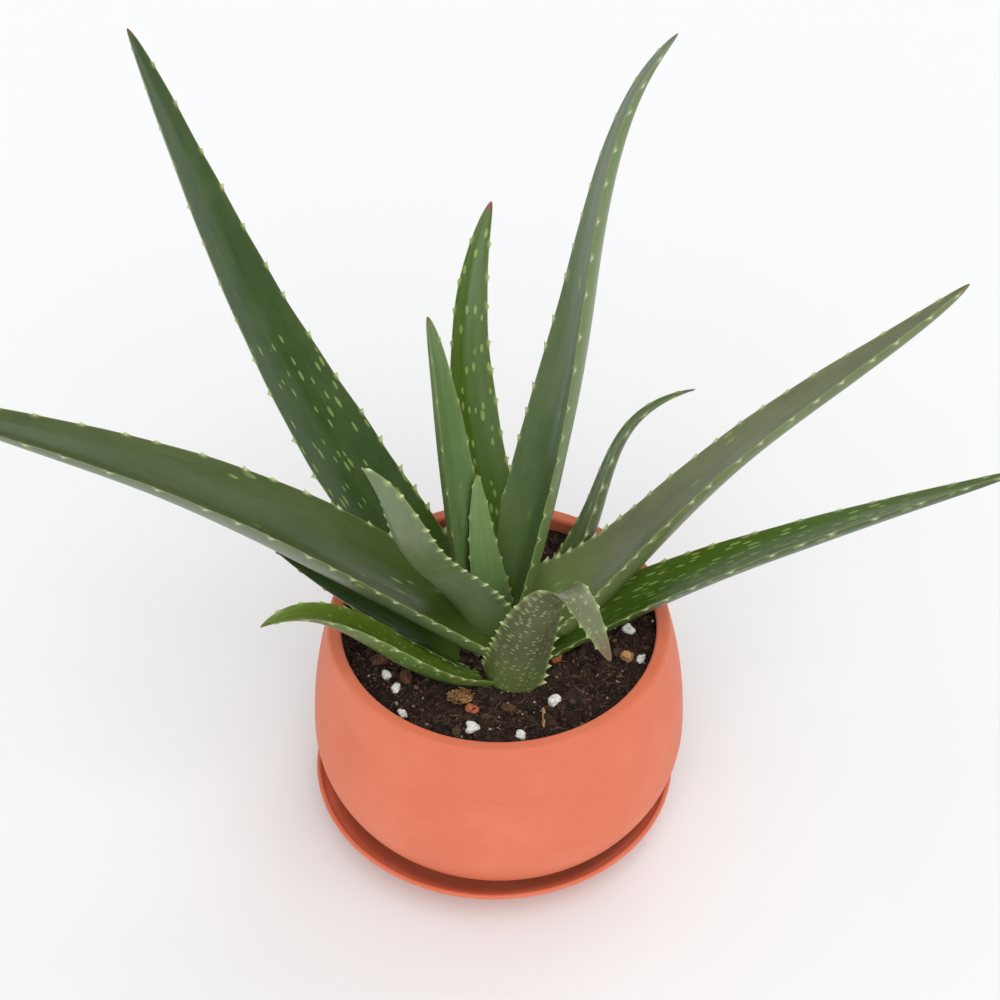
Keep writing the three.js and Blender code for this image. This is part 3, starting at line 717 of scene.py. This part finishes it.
def leaf_surface(leaf, pitch, tooth, reach):
    """The leaf's skin, swept along its spine.

    At each row the section is a channelled upper face and a rounded back, both functions of the place
    across, a, from -1 to 1: lift = channel |a|^1.7, and the back is thick (1 - a^2)^0.75 below it. Teeth push
    the margin out and forward by a height that falls as a power of the distance from the tooth.
    """
    t = np.linspace(0, 1, 400)
    spine = np.array(leaf["spine"], dtype=float)
    route = bezier(spine, t[:, None])
    run = np.append(0, np.cumsum(np.linalg.norm(np.diff(route, axis=0), axis=1)))
    length = run[-1]
    rows = int(length / ROW)
    along_mm = length * np.linspace(0, 1, rows)
    t = np.interp(along_mm, run, t)[:, None]
    centre = bezier(spine, t)
    along = unit(bezier(np.diff(spine, axis=0), t))
    facing = np.radians(bezier(leaf["facing"], t))
    side = np.concatenate([-np.sin(facing), np.cos(facing), 0 * facing], axis=1)
    side = unit(side - along * (side * along).sum(axis=1, keepdims=True))
    up = np.cross(along, side)
    roll = np.radians(bezier(leaf["roll"], t))
    side, up = side * np.cos(roll) + up * np.sin(roll), up * np.cos(roll) - side * np.sin(roll)
    foot = leaf["foot"] + (1 - leaf["foot"]) * np.minimum(1, t / 0.3) ** 0.8
    half = leaf["width"] / 2 * foot * np.clip(1 - t ** leaf["taper"], 0, 1) ** leaf["point"]
    channel = bezier(leaf["channel"], t) * half
    thick = bezier(leaf["thick"], t) * half
    angle = np.linspace(0, np.pi, HALF_RING + 1)
    upper = np.cos(angle)
    lower = np.cos(angle[1:-1] + np.pi)
    across = np.concatenate([upper, lower])[None]
    back = np.concatenate([np.zeros(len(upper)), np.ones(len(lower))])[None]
    edge_gap = (1 - np.abs(across)) * half
    teeth = np.zeros_like(edge_gap)
    patch = np.zeros_like(edge_gap)
    for sign in (-1, 1):
        places, heights = tooth_row(length, pitch, tooth, reach)
        gap = along_mm[:, None] - places
        lean = np.where(gap > 0, gap / 1.5, -gap / 2.7)
        spike = (heights * np.clip(1 - lean, 0, 1) ** 1.9).max(axis=1, keepdims=True)
        pale = np.exp(-(gap / 3.2) ** 2).max(axis=1, keepdims=True)
        here = (np.sign(across) == sign) * 1.0
        teeth += here * spike * np.exp(-(edge_gap / 0.75) ** 2)
        patch += here * pale * np.exp(-(edge_gap / 1.5) ** 2)
    wave = random.uniform(0, 2 * np.pi, 6)
    flute = 0.16 * np.sin(across * 9 + wave[0] + np.sin(along_mm[:, None] / 31 + wave[1]))
    long_dent = np.sin(along_mm[:, None] / 41 + wave[3])
    dent = 0.35 * np.sin(along_mm[:, None] / 23 + wave[2] + across * 1.3) * long_dent
    relief = (flute + dent) * (1 - across ** 2) * np.clip(half / 8, 0, 1)
    lift = channel * np.abs(across) ** 1.7 - back * thick * (1 - across ** 2) ** 0.75 + relief
    ripple = 0.3 * np.sin(along_mm[:, None] / 9 + wave[4]) * np.sin(along_mm[:, None] / 26 + wave[5])
    out = across * half + np.sign(across) * (teeth + ripple * np.abs(across) ** 6 * np.clip(half / 8, 0, 1))
    points = (centre[:, None] + side[:, None] * out[..., None] + up[:, None] * lift[..., None]
              + along[:, None] * (teeth * 0.5)[..., None])
    seat = points[0] - centre[0]
    depth = np.linspace(1, 0, 12, endpoint=False)
    buried_centre = centre[0] - along[0] * SHEATH * depth[:, None]
    buried = buried_centre[:, None] + seat * (1 - 0.2 * depth)[:, None, None]
    count = across.shape[1]
    ring_count = len(buried) + rows - 1
    rings = np.vstack([buried, points[:-1]])
    caps = np.array([rings[0].mean(axis=0), centre[-1]])
    skin = np.vstack([rings.reshape(-1, 3), caps])
    faces = list(grid_faces(ring_count, count))
    around = np.arange(count)
    beside = (around + 1) % count
    last = (ring_count - 1) * count
    faces += list(np.stack([np.full(count, len(skin) - 2), beside, around], axis=-1))
    faces += list(np.stack([np.full(count, len(skin) - 1), last + around, last + beside], axis=-1))

    def spread(values, low):
        """A row-by-ring value laid out over every vertex of the skin, the buried rows and the caps too."""
        grid = np.broadcast_to(values, (rows, count))
        first = np.broadcast_to(grid[:1] if low is None else low, (len(buried), count))
        body = np.vstack([first, grid[:-1]]).ravel()
        return np.append(body, [grid[0].mean(), grid[-1].mean()])

    stored = {
        "across": spread(across * half, None),
        "along": spread(along_mm[:, None], -4.0),
        "share": spread(t, None),
        "edge": spread(edge_gap, None),
        "tooth": spread(teeth, None),
        "patch": spread(patch, None),
        "back": spread(back, None),
    }
    return skin, faces, stored, length


def store(piece, name, values):
    """Keeps one number for each vertex of a mesh."""
    layer = piece.data.attributes.new(name, "FLOAT", "POINT")
    layer.data.foreach_set("value", np.asarray(values, dtype=np.float32))


def leaf_finish(name, seed, face, rear, bloom, bloom_share, spots, cell, cover, radius, reach, tip):
    """Waxy leaf skin.

    Green cells with fine lines along the leaf, a blue-grey bloom in clouds, pale drawn-out spots on a
    jittered grid stretched along the leaf, a thin pale margin with paler patches at the teeth, and a dry tip.
    """
    skin = Finish(name, Specular_IOR_Level=0.46, Subsurface_Weight=0.05, Subsurface_Scale=0.004)
    across, along = skin.stored("across"), skin.stored("along")
    share, edge, back = skin.stored("share"), skin.stored("edge"), skin.stored("back")
    flat = skin.node("ShaderNodeCombineXYZ", None, {0: across + back * 90 + seed * 37.0, 1: along})
    line = skin.noise(skin.stretch(flat, (1.6, 0.05, 1)), 1, 3, 0.6)
    cloud = skin.noise(skin.stretch(flat, (0.07, 0.03, 1)), 1, 4, 0.6)
    fine = skin.noise(skin.stretch(flat, (2.2, 1.1, 1)), 1, 2)
    # The back of each leaf takes the rear colour; on leaf_long_left that colour is partly a painted highlight.
    colour = skin.mix(back, face, rear)
    dark = skin.mix(1.0, colour, (0.62, 0.66, 0.6, 1), "MULTIPLY")
    colour = skin.mix(skin.step(line, 0.35, 0.7) * 0.55, colour, dark)
    veil = skin.step(cloud, 0.3, 0.75) * bloom_share + back * bloom_share * 0.3
    colour = skin.mix(veil, colour, bloom)
    young = skin.step(share, 0.0, 0.22, 0.4, 0.0)
    colour = skin.mix(young, colour, srgb(112, 140, 60))
    cells = {"Vector": skin.stretch(flat, (1 / cell[0], 1 / cell[1], 1)), "Scale": 1.0, "Randomness": 0.85}
    distance = skin.node("ShaderNodeTexVoronoi", {"voronoi_dimensions": "2D"}, cells, "Distance")
    chance = skin.node("ShaderNodeTexVoronoi", {"voronoi_dimensions": "2D"}, cells, "Color")
    pick = skin.node("ShaderNodeSeparateColor", None, {0: chance}, 0)
    scale = skin.node("ShaderNodeSeparateColor", None, {0: chance}, 1)
    limit = radius * (0.55 + scale * 0.6)
    shape = skin.step(distance - limit + (fine - 0.5) * 0.08, -0.05, 0.05, 1.0, 0.0)
    fade = skin.step(share, reach[0], reach[1], 1.0, reach[2])
    chosen = skin.step(pick * fade, 1 - cover - 0.01, 1 - cover + 0.03)
    colour = skin.mix(shape * chosen * 0.7, colour, spots)
    margin = skin.step(edge, 0.05, 0.55, 1.0, 0.0)
    colour = skin.mix(margin * 0.35, colour, srgb(136, 150, 76))
    colour = skin.mix(skin.step(skin.stored("patch"), 0.35, 0.9) * 0.5, colour, srgb(150, 168, 100))
    colour = skin.mix(skin.step(skin.stored("tooth"), 0.2, 1.0) * 0.85, colour, srgb(190, 198, 146))
    dry = skin.step(share + (cloud - 0.5) * 0.04, tip[0], tip[1])
    colour = skin.mix(dry * tip[2], colour, srgb(108, 58, 44))
    skin.feed("Base Color", colour)
    rough = 0.33 + (cloud - 0.5) * 0.2 + veil * 0.14 + (line - 0.5) * 0.08
    skin.feed("Roughness", rough + shape * chosen * 0.06)
    skin.bump(line * 0.7 + fine * 0.3 + shape * chosen * 0.25, 0.22, 0.0006)
    return skin.material


# Skins differ from leaf to leaf: face and rear greens, bloom, then the spots' colour, cell, cover and size.
DEEP, FRESH, GREY = srgb(46, 72, 18), srgb(66, 92, 12), srgb(88, 104, 58)
OLIVE, BRIGHT, DULL = srgb(58, 76, 20), srgb(92, 116, 28), srgb(100, 106, 74)
SAGE, PALE_BACK, BLOOM = srgb(98, 126, 72), srgb(98, 122, 62), srgb(126, 136, 92)
SPOT, SOFT_SPOT = srgb(132, 158, 84), srgb(142, 156, 106)
SKINS = {
    "leaf_heart": (
        srgb(118, 148, 88), PALE_BACK, BLOOM, 0.45, SOFT_SPOT,
        (3.0, 4.5), 0.3, 0.13, (0.6, 1.0, 0.6), (0.97, 1.0, 0.4)),
    "leaf_inner_left": (
        SAGE, PALE_BACK, BLOOM, 0.3, SOFT_SPOT,
        (3.4, 9.0), 0.08, 0.2, (0.5, 1.0, 0.6), (0.97, 1.0, 0.5)),
    "leaf_front": (
        srgb(80, 98, 74), GREY, srgb(112, 128, 102), 0.42, SOFT_SPOT,
        (5.0, 10.0), 0.04, 0.2, (0.5, 1.0, 0.6), (0.98, 1.0, 0.0)),
    "leaf_tall_right": (
        srgb(84, 106, 66), PALE_BACK, BLOOM, 0.26, SPOT,
        (5.0, 16.0), 0.05, 0.2, (0.5, 1.0, 0.6), (0.97, 1.0, 0.5)),
    "leaf_back": (
        FRESH, SAGE, BLOOM, 0.04, SPOT,
        (3.0, 8.0), 0.4, 0.25, (0.6, 1.0, 0.9), (0.965, 0.985, 0.9)),
    "leaf_tall_left": (
        DEEP, SAGE, BLOOM, 0.14, SPOT,
        (2.7, 11.0), 0.42, 0.23, (0.36, 0.72, 0.0), (0.98, 1.0, 0.6)),
    # leaf_long_left's rear colour is partly its own underside green and partly a painted highlight: paler and
    # greyer to stand for a glossy strip along its back.
    "leaf_long_left": (
        OLIVE, srgb(92, 106, 76), BLOOM, 0.1, SPOT,
        (3.2, 12.0), 0.08, 0.22, (0.4, 0.8, 0.4), (0.97, 1.0, 0.4)),
    "leaf_long_right": (
        DULL, GREY, BLOOM, 0.5, SPOT,
        (3.4, 12.0), 0.08, 0.2, (0.5, 1.0, 0.8), (0.96, 1.0, 0.4)),
    "leaf_small_right": (
        FRESH, OLIVE, BLOOM, 0.1, SPOT,
        (2.4, 8.0), 0.26, 0.24, (0.5, 1.0, 0.8), (0.9, 1.0, 0.7)),
    "leaf_low_right": (
        FRESH, DEEP, BLOOM, 0.08, SPOT,
        (1.7, 7.5), 0.5, 0.3, (0.3, 0.9, 0.72), (0.95, 1.0, 0.5)),
    "leaf_curled": (
        DULL, srgb(78, 80, 54), BLOOM, 0.26, SOFT_SPOT,
        (2.9, 2.3), 0.55, 0.27, (0.5, 0.95, 0.7), (0.9, 1.0, 0.6)),
    "leaf_low_left": (
        BRIGHT, srgb(76, 102, 40), BLOOM, 0.1, SPOT,
        (2.6, 3.0), 0.45, 0.25, (0.4, 0.9, 0.5), (0.94, 1.0, 0.6)),
    "leaf_under_left": (
        DEEP, OLIVE, BLOOM, 0.12, SPOT,
        (3.0, 8.0), 0.2, 0.22, (0.5, 1.0, 0.6), (0.95, 1.0, 0.5)),
}
# Teeth on each leaf: spacing and height in mm, and how far along the leaf they go.
TEETH = {
    "leaf_heart": (9, 1.3, 0.9), "leaf_inner_left": (15, 1.3, 0.9), "leaf_front": (9, 2.6, 0.95),
    "leaf_tall_right": (13, 3.2, 0.93), "leaf_back": (12, 1.8, 0.9), "leaf_tall_left": (16, 2.8, 0.93),
    "leaf_long_left": (13, 2.6, 0.95), "leaf_long_right": (11, 2.8, 0.93), "leaf_small_right": (10, 1.6, 0.9),
    "leaf_low_right": (13, 2.0, 0.93), "leaf_curled": (6.5, 1.7, 0.85), "leaf_low_left": (9, 2.0, 0.9),
    "leaf_under_left": (9, 1.8, 0.9),
}
for index, (name, leaf) in enumerate(LEAVES.items()):
    points, faces, stored, length = leaf_surface(leaf, *TEETH[name])
    finish = leaf_finish(name.replace("leaf", "skin"), index, *SKINS[name])
    piece = build_piece(name.replace("leaf", "blade"), points * MM, faces, finish, [name])
    for key, values in stored.items():
        store(piece, key, values)


# ---- Floor and light ----
# A plain pale sweep under four suns with wide, soft discs: a key from the front right, a frontal light, a low
# fill that reaches under the saucer's lip and a weak light from behind. An even surround fills the rest.
def floor_finish():
    floor = Finish("white_paper", Specular_IOR_Level=0.1, Roughness=0.9)
    floor.shader.inputs["Base Color"].default_value = (0.78, 0.78, 0.78, 1)
    return floor.material


reach = 6.0
floor_mesh = bpy.data.meshes.new("floor")
corners = [(-reach, -reach, 0), (reach, -reach, 0), (reach, reach, 0), (-reach, reach, 0)]
floor_mesh.from_pydata(corners, [], [(0, 1, 2, 3)])
floor_mesh.materials.append(floor_finish())
floor = bpy.data.objects.new("floor", floor_mesh)
bpy.context.scene.collection.objects.link(floor)


def sun(name, azimuth, elevation, width, strength, colour=(1, 1, 1)):
    """A sun whose light comes from a compass direction and a height, all in degrees."""
    data = bpy.data.lights.new(name, "SUN")
    data.angle = math.radians(width)
    data.energy = strength
    data.color = colour
    lamp = bpy.data.objects.new(name, data)
    lamp.rotation_euler = (0, math.radians(90 - elevation), math.radians(azimuth))
    bpy.context.scene.collection.objects.link(lamp)


sun("key", -58, 56, 60, 0.9, (1.0, 0.99, 0.98))
sun("back_light", 60, 46, 34, 0.4, (0.97, 0.985, 1.0))
sun("front_light", -94, 44, 46, 0.75)
sun("front_fill", -98, 17, 70, 0.6)
world = bpy.data.worlds.new("surround")
world.use_nodes = True
world.node_tree.nodes["Background"].inputs["Color"].default_value = (0.97, 0.985, 1, 1)
world.node_tree.nodes["Background"].inputs["Strength"].default_value = 0.72
bpy.context.scene.world = world
bpy.context.scene.view_settings.view_transform = "Standard"
